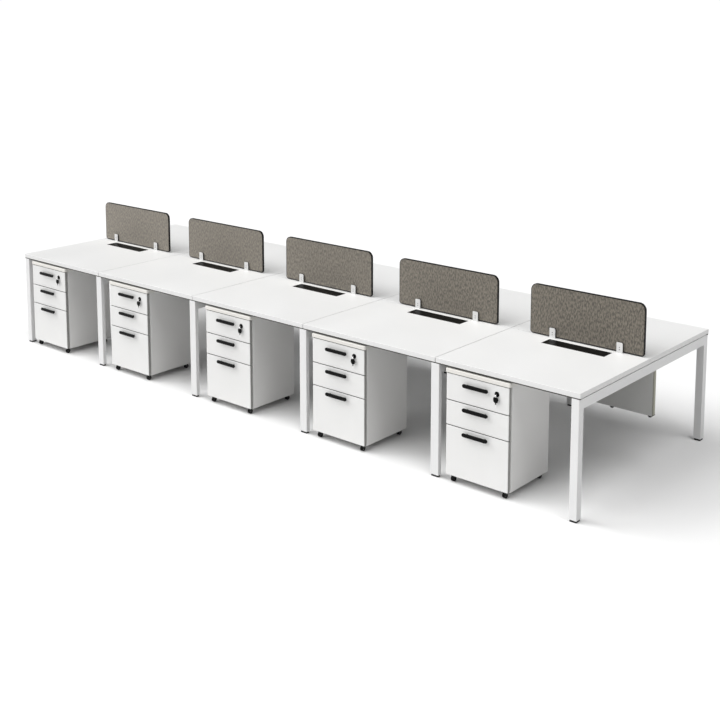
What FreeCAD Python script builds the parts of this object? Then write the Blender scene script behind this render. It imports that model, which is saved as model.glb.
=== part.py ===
import FreeCAD, Part
import os, math

os.makedirs("parts", exist_ok=True)
V = FreeCAD.Vector

# ---------------------------------------------------------------------------
# Ten-place back-to-back office bench: white desktops on portal frames, fabric
# screens on the centre line, flush cable flaps, and a three-drawer mobile
# pedestal under each front desk.  Millimetres.
# Layout coordinates: X along the row from the left end, Y from the front edge
# of the desktops to the back, Z up from the floor.  Every node is written
# with the layout moved so that the origin is the bottom centre of the box.
# ---------------------------------------------------------------------------

# desks
END_DESK = 990.0          # width of the two end desks
MID_DESK = 1090.0         # width of the three middle desks, and the bay pitch
ROW_DEPTH = 815.0         # front edge to the centre line
TOP_Z = 750.0             # height of the worktop
TOP_T = 30.0              # desktop board
SEAM_GAP = 4.0            # gap between neighbouring boards
SPINE_GAP = 4.0           # gap between the two rows of boards
SHADOW_GAP = 7.0          # gap between boards and frame

# frame
END_LEG = 50.0            # square end leg
END_INSET = 5.5           # end leg back from the end of the board
MID_LEG_X = 60.0          # middle leg, along the row
MID_LEG_Y = 30.0          # middle leg, front to back
BEAM_W = 50.0             # cross beam width
BEAM_H = 61.0             # cross beam height
RAIL = 40.0               # long rail, square
TUBE_T = 2.0              # wall of the tubes
RAIL_T = 1.5
RAIL_Y = (480.0, 745.0)   # front faces of the two rails under the front row
GLIDE_H = 12.0            # foot under each leg
STRIP_W = 30.0            # spacer strip between beam and board

# screens: left and right end, and the two clamps, at each desk
SCREEN_X = ((36.0, 880.0), (1130.0, 1986.0), (2238.0, 3086.0), (3338.0, 4162.0), (4414.0, 5214.0))
SCREEN_T = 16.0
SCREEN_Z0 = 754.0
SCREEN_Z1 = 1080.0
SCREEN_R_TOP = 45.0
SCREEN_R_BOT = 18.0
TRIM_T = 5.0
BAY_CENTRE = 572.0        # tray centre from the bay origin
CLAMP_X = ((188.0, 716.0), (1288.0, 1812.0), (2406.0, 2920.0), (3510.0, 3992.0), (4584.0, 5055.0))
CLAMP_W = 42.0
CLAMP_TOP = 814.0
CLAMP_CHEEK = 12.0        # white plate and the black pad behind it
PAD_T = 9.0

# cable flaps
FLAP_X = (445.0, 1545.0, 2654.0, 3738.0, 4803.0)   # middles
FLAP_W = 440.0
FLAP_D = 102.0
FLAP_Y0 = 666.0           # front edge of the flap frame
FLAP_BORDER = 8.0
FLAP_LIP = 6.0
FLAP_T = 3.7
CUT_CLEAR = 0.5
FRAME_H = 20.0

# cable trays
TRAY_L = 700.0
TRAY_Y0 = 643.0
TRAY_Z0 = 664.0
SHEET = 1.5

# modesty panels
PANEL_Y0 = 869.0
PANEL_T = 16.0
PANEL_Z0 = 374.0
PANEL_Z1 = 650.0
POST_X = 20.0
POST_Y = 28.0
CLIP_W = 29.0              # clip under the panel, its chord and its height
CLIP_H = 10.0

# pedestals
PED_X = (106.0, 1128.0, 2224.0, 3257.0, 4344.0)   # left sides, they roll
PED_W = 455.0
PED_D = 438.0
PED_FRONT = -8.0          # front of the top plate, from the desktop edge
PED_Z0 = 44.0
PED_Z1 = 706.0
PED_TOP_T = 24.0
BOARD = 16.0
FRONT_T = 20.0
FRONT_GAP = 6.0           # drawer fronts to the carcass behind them
FRONT_INSET = 6.0         # drawer fronts in from the sides of the top plate
BOX_T = 12.0
BOX_L = 390.0
FRONTS = ((516.5, 677.0), (361.5, 511.5), (46.0, 356.5))
BOXES = ((530.0, 650.0), (375.0, 490.0), (66.0, 300.0))
SLIDE_Z = (545.0, 400.0, 120.0)
SLIDE_H = 30.0
HANDLE_Z = (630.0, 481.0, 329.0)
HANDLE_L = 180.0
HANDLE_H = 22.5
HANDLE_T = 9.0
HANDLE_OUT = 15.0         # bar back face in front of the drawer front
LOCK_X = 366.0
LOCK_Z = 625.0
DRAWER_NAMES = ("top", "middle", "file")

# castors
WHEEL_R = 17.0
WHEEL_Z = 17.3
WHEEL_T = 7.5
WEB_T = 5.0
AXLE_R = 3.0
AXLE_CLEAR = 0.08
CASTOR_X = 43.0
CASTOR_Y = (34.0, 404.0)

# ---------------------------------------------------------------------------
SEAMS = [0.0, END_DESK, END_DESK + MID_DESK, END_DESK + 2 * MID_DESK,
         END_DESK + 3 * MID_DESK, 2 * END_DESK + 3 * MID_DESK]
LENGTH = SEAMS[-1]
DEPTH = 2 * ROW_DEPTH
BASES = [END_DESK - MID_DESK + i * MID_DESK for i in range(5)]
CENTRES = [b + BAY_CENTRE for b in BASES]
UNDER = TOP_Z - TOP_T
EDGE_STRIP_IN = 2.0         # edge strip behind the desktop's edge, and its width
EDGE_STRIP_W = 12.0
FRAME_Z = UNDER - SHADOW_GAP
FRONT_REACH = -(PED_FRONT + 3.0 - HANDLE_OUT - HANDLE_T)   # handles stand out
ORIGIN = V(LENGTH / 2.0, (DEPTH - FRONT_REACH) / 2.0, 0.0)

nodes = {}


def add(name, *shapes):
    nodes.setdefault(name, []).extend(shapes)


def box(x0, y0, z0, x1, y1, z1):
    return Part.makeBox(x1 - x0, y1 - y0, z1 - z0, V(x0, y0, z0))


def mirror_y(shape):
    # reflect to the rear row, about the centre line
    return shape.mirror(V(0, ROW_DEPTH, 0), V(0, 1, 0))


def tube(x0, y0, z0, x1, y1, z1, axis, t):
    outer = box(x0, y0, z0, x1, y1, z1)
    if axis == "x":
        inner = box(x0 - 1, y0 + t, z0 + t, x1 + 1, y1 - t, z1 - t)
    elif axis == "y":
        inner = box(x0 + t, y0 - 1, z0 + t, x1 - t, y1 + 1, z1 - t)
    else:
        inner = box(x0 + t, y0 + t, z0 - 1, x1 - t, y1 - t, z1 + 1)
    return outer.cut(inner)


def cyl(x, y, z, r, length, direction):
    return Part.makeCylinder(r, length, V(x, y, z), direction)


def rounded_plate(x0, z0, x1, z1, rb, rt, y0, y1):
    # upright plate in the XZ plane: rb at the bottom corners, rt at the top
    def arc(cx, cz, r, a0, a1):
        am = (a0 + a1) / 2.0
        pts = [V(cx + r * math.cos(math.radians(a)), y0,
                 cz + r * math.sin(math.radians(a))) for a in (a0, am, a1)]
        return Part.Arc(*pts).toShape(), pts[0], pts[2]

    parts = [arc(x1 - rt, z1 - rt, rt, 0, 90), arc(x0 + rt, z1 - rt, rt, 90, 180),
             arc(x0 + rb, z0 + rb, rb, 180, 270), arc(x1 - rb, z0 + rb, rb, 270, 360)]
    edges = []
    for i, (e, a, b) in enumerate(parts):
        edges.append(e)
        nxt = parts[(i + 1) % 4][1]
        edges.append(Part.makeLine(b, nxt))
    wire = Part.Wire(Part.__sortEdges__(edges))
    return Part.Face(wire).extrude(V(0, y1 - y0, 0))


# ------------------------------------------------------------- desktops
cut_x = FLAP_W / 2.0 + CUT_CLEAR
for i in range(5):
    x0 = SEAMS[i] + (SEAM_GAP / 2.0 if i > 0 else 0.0)
    x1 = SEAMS[i + 1] - (SEAM_GAP / 2.0 if i < 4 else 0.0)
    board = box(x0, 0, UNDER, x1, ROW_DEPTH - SPINE_GAP / 2.0, TOP_Z)
    hole = box(FLAP_X[i] - cut_x, FLAP_Y0 - CUT_CLEAR, UNDER - 1,
               FLAP_X[i] + cut_x, FLAP_Y0 + FLAP_D + CUT_CLEAR, TOP_Z + 1)
    board = board.cut(hole)
    add("desktops_front", board)
    add("desktops_rear", mirror_y(board))

# ------------------------------------------------------------- frames
end_x = ((END_INSET, END_INSET + END_LEG),
         (LENGTH - END_INSET - END_LEG, LENGTH - END_INSET))
for (x0, x1) in end_x:
    for (y0, y1) in ((0.0, END_LEG), (DEPTH - END_LEG, DEPTH)):
        add("end_legs", tube(x0, y0, GLIDE_H, x1, y1, FRAME_Z, "z", TUBE_T))
        add("leg_glides", box(x0 + 3, y0 + 3, 0, x1 - 3, y1 - 3, GLIDE_H))
    add("cross_beams", tube(x0, END_LEG, FRAME_Z - BEAM_H, x1, DEPTH - END_LEG,
                            FRAME_Z, "y", TUBE_T))
    xm = (x0 + x1) / 2.0
    for (y0, y1) in ((60.0, ROW_DEPTH - 60.0), (ROW_DEPTH + 60.0, DEPTH - 60.0)):
        add("cross_beams", box(xm - STRIP_W / 2, y0, FRAME_Z, xm + STRIP_W / 2, y1, UNDER))

for s in SEAMS[1:5]:
    x0, x1 = s - MID_LEG_X / 2, s + MID_LEG_X / 2
    for (y0, y1) in ((0.0, MID_LEG_Y), (DEPTH - MID_LEG_Y, DEPTH)):
        add("middle_legs", tube(x0, y0, GLIDE_H, x1, y1, FRAME_Z, "z", TUBE_T))
        add("leg_glides", box(x0 + 3, y0 + 3, 0, x1 - 3, y1 - 3, GLIDE_H))
    add("cross_beams", tube(s - BEAM_W / 2, MID_LEG_Y, FRAME_Z - BEAM_H,
                            s + BEAM_W / 2, DEPTH - MID_LEG_Y, FRAME_Z, "y", TUBE_T))
    for (y0, y1) in ((60.0, ROW_DEPTH - 60.0), (ROW_DEPTH + 60.0, DEPTH - 60.0)):
        add("cross_beams", box(s - STRIP_W / 2, y0, FRAME_Z, s + STRIP_W / 2, y1, UNDER))
# edge strips in the shadow gap, under the outer edge of every desktop
for i in range(5):
    for (y0, y1) in ((EDGE_STRIP_IN, EDGE_STRIP_IN + EDGE_STRIP_W),
                     (DEPTH - EDGE_STRIP_IN - EDGE_STRIP_W, DEPTH - EDGE_STRIP_IN)):
        add("cross_beams", box(SEAMS[i] + EDGE_STRIP_IN, y0, FRAME_Z,
                               SEAMS[i + 1] - EDGE_STRIP_IN, y1, UNDER))

beam_faces = [end_x[0][1]]
for s in SEAMS[1:5]:
    beam_faces += [s - BEAM_W / 2, s + BEAM_W / 2]
beam_faces.append(end_x[1][0])
for i in range(5):
    x0, x1 = beam_faces[2 * i], beam_faces[2 * i + 1]
    for y in RAIL_Y:
        rail = tube(x0, y, FRAME_Z - RAIL, x1, y + RAIL, FRAME_Z, "x", RAIL_T)
        add("long_rails", rail, mirror_y(rail))

# ------------------------------------------------------------- cable trays
for i in range(5):
    x0, x1 = CENTRES[i] - TRAY_L / 2, CENTRES[i] + TRAY_L / 2
    y1 = RAIL_Y[1]
    tray = [box(x0, TRAY_Y0, TRAY_Z0, x1, y1, TRAY_Z0 + SHEET),
            box(x0, TRAY_Y0, TRAY_Z0 + SHEET, x1, TRAY_Y0 + SHEET, TRAY_Z0 + 41),
            box(x0, y1 - SHEET, TRAY_Z0 + SHEET, x1, y1, FRAME_Z - 2)]
    for p in tray:
        add("cable_trays", p, mirror_y(p))

# ------------------------------------------------------------- screens
for i in range(5):
    x0, x1 = SCREEN_X[i]
    y0, y1 = ROW_DEPTH - SCREEN_T / 2, ROW_DEPTH + SCREEN_T / 2
    outer = rounded_plate(x0, SCREEN_Z0, x1, SCREEN_Z1, SCREEN_R_BOT, SCREEN_R_TOP, y0, y1)
    core = rounded_plate(x0 + TRIM_T, SCREEN_Z0 + TRIM_T, x1 - TRIM_T, SCREEN_Z1 - TRIM_T,
                         SCREEN_R_BOT - TRIM_T, SCREEN_R_TOP - TRIM_T, y0, y1)
    core_cut = rounded_plate(x0 + TRIM_T, SCREEN_Z0 + TRIM_T, x1 - TRIM_T, SCREEN_Z1 - TRIM_T,
                             SCREEN_R_BOT - TRIM_T, SCREEN_R_TOP - TRIM_T, y0 - 1, y1 + 1)
    add("screen_panels", core)
    add("screen_edge_trims", outer.cut(core_cut))
    for cx in CLAMP_X[i]:
        a, b = cx - CLAMP_W / 2, cx + CLAMP_W / 2
        # plate and pad on both faces of the screen, foot, stem in the gap, jaw below
        cheek = box(a, y0 - CLAMP_CHEEK, SCREEN_Z0, b, y0 - PAD_T, CLAMP_TOP)
        pad = box(a, y0 - PAD_T, SCREEN_Z0, b, y0, CLAMP_TOP)
        add("screen_edge_trims", pad, mirror_y(pad))
        foot = box(a, y0 - CLAMP_CHEEK, TOP_Z, b, y1 + CLAMP_CHEEK, SCREEN_Z0)
        stem = box(a + 5, ROW_DEPTH - 1.5, UNDER - 4, b - 5, ROW_DEPTH + 1.5, TOP_Z)
        jaw = box(a + 5, y0 - CLAMP_CHEEK, UNDER - 7, b - 5, y1 + CLAMP_CHEEK, UNDER - 4)
        add("screen_clamps", cheek, mirror_y(cheek), foot, stem, jaw)
        for dz in (21.0, 35.0):
            scr = cyl(cx, y0 - CLAMP_CHEEK, TOP_Z + dz, 2.6, 1.2, V(0, -1, 0))
            add("clamp_screws", scr, mirror_y(scr))
        for dy in (-14.0, 14.0):
            add("clamp_screws", cyl(cx, ROW_DEPTH + dy, UNDER - 4, 3.0, 4.0, V(0, 0, 1)))

# ------------------------------------------------------------- cable flaps
hinge_yz = []
for i in range(5):
    xc = FLAP_X[i]
    x0, x1 = xc - FLAP_W / 2, xc + FLAP_W / 2
    y0, y1 = FLAP_Y0, FLAP_Y0 + FLAP_D
    b = FLAP_BORDER
    ring = box(x0, y0, TOP_Z - FRAME_H, x1, y1, TOP_Z)
    ring = ring.cut(box(x0 + b, y0 + b, TOP_Z - 4.0, x1 - b, y1 - b, TOP_Z + 1))
    ring = ring.cut(box(x0 + b + FLAP_LIP, y0 + b + FLAP_LIP, TOP_Z - FRAME_H - 1,
                        x1 - b - FLAP_LIP, y1 - b - FLAP_LIP, TOP_Z + 1))
    add("flap_frames", ring, mirror_y(ring))
    # lid with a half-round hinge edge on the screen side
    fx0, fx1 = x0 + b + 0.5, x1 - b - 0.5
    fy0, fy1 = y0 + b + 0.5, y1 - b - 0.5
    r = FLAP_T / 2.0
    zt, zb = TOP_Z, TOP_Z - FLAP_T
    ya, za = fy1 - r, TOP_Z - r
    p = [V(fx0, fy0, zb), V(fx0, ya, zb), V(fx0, ya + r, za), V(fx0, ya, zt), V(fx0, fy0, zt)]
    wire = Part.Wire([Part.makeLine(p[0], p[1]), Part.Arc(p[1], p[2], p[3]).toShape(),
                      Part.makeLine(p[3], p[4]), Part.makeLine(p[4], p[0])])
    lid = Part.Face(wire).extrude(V(fx1 - fx0, 0, 0))
    add("cable_flap_front_%d" % (i + 1), lid)
    add("cable_flap_rear_%d" % (i + 1), mirror_y(lid))
    hinge_yz.append((ya, za))

# ------------------------------------------------------------- modesty panels
for i in range(5):
    x0 = SEAMS[i] + (3.0 if i == 0 else 2.0)
    x1 = SEAMS[i + 1] - (3.0 if i == 4 else 2.0)
    add("modesty_panels", box(x0, PANEL_Y0, PANEL_Z0, x1, PANEL_Y0 + PANEL_T, PANEL_Z1))
    yb = PANEL_Y0 + PANEL_T
    for px in (x0 + 1.0, x1 - 1.0 - POST_X):
        if i == 0 and px < 100:
            px = END_INSET
        if i == 4 and px > LENGTH - 100:
            px = LENGTH - END_INSET - POST_X
        add("cross_beams", box(px, yb, PANEL_Z0, px + POST_X, yb + POST_Y, FRAME_Z - BEAM_H))
    # rounded black clips under the lower edge
    for cx in (x0 + (15.0 if i == 0 else 19.0), x0 + 271.0, x1 - 271.0, x1 - (15.0 if i == 4 else 19.0)):
        cr = (CLIP_W * CLIP_W / 4.0 + CLIP_H * CLIP_H) / (2.0 * CLIP_H)
        deep = PANEL_T + (POST_Y if cx in (x0 + 15.0, x1 - 15.0) else 12.0)
        c = cyl(cx, PANEL_Y0, PANEL_Z0 - CLIP_H + cr, cr, deep, V(0, 1, 0))
        c = c.common(box(cx - 20, PANEL_Y0 - 1, PANEL_Z0 - 20, cx + 20, PANEL_Y0 + deep + 1, PANEL_Z0))
        add("panel_edge_clips", c)

# ------------------------------------------------------------- pedestals
def castor(px, py):
    """housing and axle stubs of one twin-wheel castor, and its two wheels"""
    fixed = [box(px - 14, py - 18, PED_Z0 - 3, px + 14, py + 18, PED_Z0),
             box(px - 11.5, py - 17, 36.0, px + 11.5, py + 17, PED_Z0 - 3),
             box(px - WEB_T / 2, py - 12, 9.0, px + WEB_T / 2, py + 12, 36.0)]
    wheels = []
    for s in (-1, 1):
        start = px + s * WEB_T / 2
        fixed.append(cyl(start, py, WHEEL_Z, AXLE_R, WHEEL_T + 1.0, V(s, 0, 0)))
        w0 = px + s * (WEB_T / 2 + 0.5)
        rim = cyl(w0, py, WHEEL_Z, WHEEL_R, WHEEL_T, V(s, 0, 0))
        bore = cyl(w0 - s, py, WHEEL_Z, AXLE_R + AXLE_CLEAR, WHEEL_T + 2, V(s, 0, 0))
        wheels.append(rim.cut(bore))
    return fixed, wheels


for n, ox in enumerate(PED_X):
    oy = PED_FRONT
    tag = "pedestal_%d_" % (n + 1)

    def at(shape):
        shape.translate(V(ox, oy, 0))
        return shape

    lx0, lx1 = 2.0, PED_W - 2.0                # carcass sides, outer
    ix0, ix1 = lx0 + BOARD, lx1 - BOARD        # carcass sides, inner
    cy0, cy1 = 3.0 + FRONT_T + FRONT_GAP, PED_D - 2.0
    under = PED_Z1 - PED_TOP_T
    cab = tag + "cabinet"
    plate = box(0, 0, under, PED_W, PED_D, PED_Z1)
    vertical = [e for e in plate.Edges
                if abs(e.Vertexes[0].X - e.Vertexes[-1].X) < 1e-6
                and abs(e.Vertexes[0].Y - e.Vertexes[-1].Y) < 1e-6]
    plate = plate.makeFillet(8.0, vertical)
    add(cab, at(plate))
    for (a, b) in ((lx0, ix0), (ix1, lx1)):
        add(cab, at(box(a, cy0, PED_Z0, b, cy1, under)))
    add(cab, at(box(ix0, cy0, PED_Z0, ix1, cy1, PED_Z0 + BOARD)))
    add(cab, at(box(ix0, cy1 - 8, PED_Z0 + BOARD, ix1, cy1, under)))
    for z0 in (666.0, 500.0, 340.0):
        h = 12.0 if z0 == 500.0 else 16.0
        add(cab, at(box(ix0, cy0, z0, ix1, cy0 + 60, z0 + h)))
    for z0 in SLIDE_Z:
        for (a, b) in ((ix0, ix0 + 5.7), (ix1 - 5.7, ix1)):
            add(cab, at(box(a, 30, z0, b, 426, z0 + SLIDE_H)))
    for j, py in enumerate(CASTOR_Y):
        for px in (CASTOR_X, PED_W - CASTOR_X):
            fixed, wheels = castor(px, py)
            for f in fixed:
                add(cab, at(f))
            for w in wheels:
                add(tag + ("front_wheels", "rear_wheels")[j], at(w))

    bx0, bx1 = ix0 + 13.0, ix1 - 13.0          # drawer box, outer
    for k, dn in enumerate(DRAWER_NAMES):
        name = tag + "drawer_" + dn
        fz0, fz1 = FRONTS[k]
        front = box(FRONT_INSET, 3.0, fz0, PED_W - FRONT_INSET, 3.0 + FRONT_T, fz1)
        rim = [e for e in front.Edges
               if abs(e.Vertexes[0].Y - 3.0) < 1e-6 and abs(e.Vertexes[-1].Y - 3.0) < 1e-6]
        front = front.makeChamfer(2.0, rim)
        add(name, at(front))
        yb0, yb1 = 3.0 + FRONT_T, 3.0 + FRONT_T + BOX_L
        z0, z1 = BOXES[k]
        for (a, b) in ((bx0, bx0 + BOX_T), (bx1 - BOX_T, bx1)):
            add(name, at(box(a, yb0, z0, b, yb1, z1)))
        add(name, at(box(bx0 + BOX_T, yb1 - BOX_T, z0, bx1 - BOX_T, yb1, z1)))
        add(name, at(box(bx0 + BOX_T, yb0, z0, bx1 - BOX_T, yb1 - BOX_T, z0 + 5.0)))
        for (a, b) in ((bx0 - 6.7, bx0), (bx1, bx1 + 6.7)):
            add(name, at(box(a, 26, SLIDE_Z[k] + 3, b, 408, SLIDE_Z[k] + SLIDE_H - 3)))
        # bar handle on two posts
        hz = HANDLE_Z[k]
        hx = PED_W / 2.0 - 3.0
        bar = rounded_plate(hx - HANDLE_L / 2, hz - HANDLE_H / 2, hx + HANDLE_L / 2,
                            hz + HANDLE_H / 2, HANDLE_H / 2 - 0.01, HANDLE_H / 2 - 0.01,
                            3.0 - HANDLE_OUT - HANDLE_T, 3.0 - HANDLE_OUT)
        add(name, at(bar))
        for s in (-1, 1):
            cx = hx + s * 64.0
            add(name, at(box(cx - 5, 3.0 - HANDLE_OUT, hz - 5, cx + 5, 3.0, hz + 5)))
        if k == 0:
            ring = cyl(LOCK_X, 3.0, LOCK_Z, 16.0, 3.0, V(0, -1, 0))
            ring = ring.cut(cyl(LOCK_X, 4.0, LOCK_Z, 6.08, 6.0, V(0, -1, 0)))
            add(name, at(ring))
    # lock plug, key and key fob, turned together
    key = tag + "lock_key"
    add(key, at(cyl(LOCK_X, 2.7, LOCK_Z, 6.0, 3.2, V(0, -1, 0))))
    add(key, at(box(LOCK_X - 1.2, -9.0, LOCK_Z - 4, LOCK_X + 1.2, -0.5, LOCK_Z + 4)))
    add(key, at(box(LOCK_X - 8.0, -12.0, LOCK_Z - 14, LOCK_X + 5.0, -9.0, LOCK_Z + 4)))
    add(key, at(box(LOCK_X - 17.0, -13.0, LOCK_Z - 49, LOCK_X + 17.0, -8.0, LOCK_Z - 14)))
    add(key, at(box(LOCK_X - 3.5, -11.5, LOCK_Z - 72, LOCK_X + 3.5, -9.5, LOCK_Z - 49)))

# ------------------------------------------------------------- write the parts
total = 0
allbox = None
for name, shapes in nodes.items():
    comp = Part.makeCompound([s.copy() for s in shapes])
    comp.translate(V(-ORIGIN.x, -ORIGIN.y, 0))
    comp.exportStep("parts/%s.step" % name)
    total += 1
    bb = comp.BoundBox
    if allbox is None:
        allbox = FreeCAD.BoundBox(bb)
    else:
        allbox.add(bb)
print("nodes", total)
print("box x %.2f..%.2f y %.2f..%.2f z %.2f..%.2f" % (allbox.XMin, allbox.XMax, allbox.YMin,
                                                     allbox.YMax, allbox.ZMin, allbox.ZMax))
print("hinge of front flaps: y %.3f z %.3f" % (hinge_yz[0][0] - ORIGIN.y, hinge_yz[0][1]))
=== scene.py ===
import bpy, bmesh, math
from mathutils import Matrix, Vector


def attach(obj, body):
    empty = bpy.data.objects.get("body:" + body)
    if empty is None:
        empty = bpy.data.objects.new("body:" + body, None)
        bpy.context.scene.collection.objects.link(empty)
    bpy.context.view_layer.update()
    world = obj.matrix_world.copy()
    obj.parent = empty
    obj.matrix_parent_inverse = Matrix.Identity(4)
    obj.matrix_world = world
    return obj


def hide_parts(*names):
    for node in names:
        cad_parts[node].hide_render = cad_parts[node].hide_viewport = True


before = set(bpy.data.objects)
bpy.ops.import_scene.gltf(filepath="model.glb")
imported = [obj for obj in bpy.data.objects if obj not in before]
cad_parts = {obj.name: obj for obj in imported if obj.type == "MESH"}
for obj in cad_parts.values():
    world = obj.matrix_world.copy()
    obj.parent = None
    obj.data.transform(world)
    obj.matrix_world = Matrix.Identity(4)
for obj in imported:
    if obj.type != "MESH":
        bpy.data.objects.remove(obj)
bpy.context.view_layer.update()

# ---------------------------------------------------------------------------
# Ten-place back-to-back office bench with fabric screens, cable flaps and five
# mobile pedestals.  Shapes are written in layout millimetres (X along the row
# from the left end, Y from the front edge of the desktops to the back, Z up)
# and moved into the object's frame when a piece is made.
# ---------------------------------------------------------------------------
SEAMS = (0.0, 990.0, 2080.0, 3170.0, 4260.0, 5250.0)
BASES = (-100.0, 990.0, 2080.0, 3170.0, 4260.0)
CENTRES = tuple(b + 572.0 for b in BASES)
SCREEN_X = ((36.0, 880.0), (1130.0, 1986.0), (2238.0, 3086.0), (3338.0, 4162.0), (4414.0, 5214.0))
CLAMP_X = ((188.0, 716.0), (1288.0, 1812.0), (2406.0, 2920.0), (3510.0, 3992.0), (4584.0, 5055.0))
FLAP_X = (445.0, 1545.0, 2654.0, 3738.0, 4803.0)
PED_X = (106.0, 1128.0, 2224.0, 3257.0, 4344.0)
PED_Y = -8.0
ROW = 815.0
DEPTH = 2 * ROW
LENGTH = 5250.0
TOP_Z, UNDER, FRAME_Z, BEAM_Z = 750.0, 720.0, 713.0, 652.0
OX, OY = 2625.0, 800.5
MM = 0.001


# ------------------------------------------------------------- mesh kit
class Geo:
    """points and faces in millimetres"""

    def __init__(self):
        self.v, self.f = [], []

    def put(self, verts, faces):
        n = len(self.v)
        self.v += [tuple(p) for p in verts]
        self.f += [[n + i for i in face] for face in faces]
        return self

    def join(self, *others):
        for o in others:
            self.put(o.v, o.f)
        return self

    def shift(self, dx=0.0, dy=0.0, dz=0.0):
        return Geo().put([(x + dx, y + dy, z + dz) for x, y, z in self.v], self.f)

    def flip_y(self, yc=ROW):
        return Geo().put([(x, 2 * yc - y, z) for x, y, z in self.v], [f[::-1] for f in self.f])

    def flip_x(self, xc):
        return Geo().put([(2 * xc - x, y, z) for x, y, z in self.v], [f[::-1] for f in self.f])

    def both_rows(self):
        return Geo().join(self, self.flip_y())


def rrect(a0, b0, a1, b1, r=0.4, inset=0.0, n=3, flare=0.05):
    """points round a rectangle with rounded corners; r is one radius, or those at
    (a0,b0), (a1,b0), (a1,b1) and (a0,b1)"""
    rr = r if isinstance(r, (tuple, list)) else (r,) * 4
    a0, b0, a1, b1 = a0 + inset, b0 + inset, a1 - inset, b1 - inset
    pts = []
    for (ca, cb, sa, sb, start), rad in zip(
            ((a0, b0, 1, 1, 180), (a1, b0, -1, 1, 270), (a1, b1, -1, -1, 0), (a0, b1, 1, -1, 90)), rr):
        rad = max(rad - inset, flare)
        for k in range(n + 1):
            t = math.radians(start + 90.0 * k / n)
            pts.append((ca + sa * rad + rad * math.cos(t), cb + sb * rad + rad * math.sin(t)))
    return pts


def placed(p, depth, plane):
    a, b = p
    return {"xz": (a, depth, b), "xy": (a, b, depth), "yz": (depth, a, b)}[plane]


def stack(outline, stations, plane="xz", closed=False):
    """rings of outline(inset) at each (inset, depth), joined one to the next"""
    verts, m = [], 0
    for inset, depth in stations:
        ring = outline(inset)
        m = len(ring)
        verts += [placed(p, depth, plane) for p in ring]
    faces, count = [], len(stations)
    for s in range(count if closed else count - 1):
        t = (s + 1) % count
        for i in range(m):
            j = (i + 1) % m
            faces.append((s * m + i, s * m + j, t * m + j, t * m + i))
    if not closed:
        faces.append(tuple(range(m))[::-1])
        faces.append(tuple((count - 1) * m + i for i in range(m)))
    return Geo().put(verts, faces)


def rim(face, inward, r, n=3):
    """stations that round the edge between a flat face and the side of a slab"""
    out = []
    for k in range(n + 1):
        a = math.radians(90.0 * k / n)
        out.append((r * (1 - math.sin(a)), face + inward * r * (1 - math.cos(a))))
    return out


def slab(outline, d0, d1, r0=1.0, r1=1.0, n=3, plane="xz"):
    return stack(outline, rim(d0, 1, r0, n) + rim(d1, -1, r1, n)[::-1], plane)


def block(x0, y0, z0, x1, y1, z1, r=1.0, n=2, plane=None, corner=None):
    """a box with every edge rounded"""
    if plane is None:
        plane = min((x1 - x0, "yz"), (y1 - y0, "xz"), (z1 - z0, "xy"))[1]
    a0, b0, a1, b1, d0, d1 = {"xz": (x0, z0, x1, z1, y0, y1), "xy": (x0, y0, x1, y1, z0, z1),
                              "yz": (y0, z0, y1, z1, x0, x1)}[plane]
    c = r if corner is None else corner
    return slab(lambda i: rrect(a0, b0, a1, b1, c, i, n), d0, d1, r, r, n, plane)


def lathe(profile, centre, axis="y", n=32, closed=False):
    """(radius, distance along the axis) turned about the axis; a third value "hex"
    gives that ring six flats"""
    cx, cy, cz = centre
    verts, rings = [], []
    for row in profile:
        r, d = row[0], row[1]
        ids = []
        for k in range(1 if r <= 0 else n):
            t = 2 * math.pi * k / n
            rad = r
            if len(row) > 2:
                rad = r * math.cos(math.pi / 6) / math.cos((t % (math.pi / 3)) - math.pi / 6)
            u, w = rad * math.cos(t), rad * math.sin(t)
            ids.append(len(verts))
            verts.append({"x": (cx + d, cy + u, cz + w), "y": (cx + u, cy + d, cz + w),
                          "z": (cx + u, cy + w, cz + d)}[axis])
        rings.append(ids)
    faces = []
    pairs = list(zip(rings, rings[1:])) + ([(rings[-1], rings[0])] if closed else [])
    for p, q in pairs:
        if len(p) == 1 and len(q) == 1:
            continue
        for k in range(n):
            j = (k + 1) % n
            if len(p) == 1:
                faces.append((p[0], q[k], q[j]))
            elif len(q) == 1:
                faces.append((p[k], p[j], q[0]))
            else:
                faces.append((p[k], p[j], q[j], q[k]))
    if not closed:
        for ids in (rings[0], rings[-1]):
            if len(ids) > 1:
                faces.append(tuple(ids))
    return Geo().put(verts, faces)


def prism(poly, d0, d1, plane="xz", bevel=0.0, seg=2):
    """a polygon pushed from d0 to d1, its edges then rounded"""
    bm = bmesh.new()
    low = [bm.verts.new(placed(p, d0, plane)) for p in poly]
    high = [bm.verts.new(placed(p, d1, plane)) for p in poly]
    bm.faces.new(low[::-1])
    bm.faces.new(high)
    for i in range(len(poly)):
        j = (i + 1) % len(poly)
        bm.faces.new((low[i], low[j], high[j], high[i]))
    bmesh.ops.recalc_face_normals(bm, faces=bm.faces[:])
    if bevel:
        edges = [e for e in bm.edges if e.calc_face_angle(0) > 0.5]
        bmesh.ops.bevel(bm, geom=edges, offset=bevel, offset_type="OFFSET", segments=seg,
                        profile=0.5, affect="EDGES", clamp_overlap=True)
    bm.verts.index_update()
    g = Geo().put([v.co for v in bm.verts], [[v.index for v in f.verts] for f in bm.faces])
    bm.free()
    return g


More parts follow.
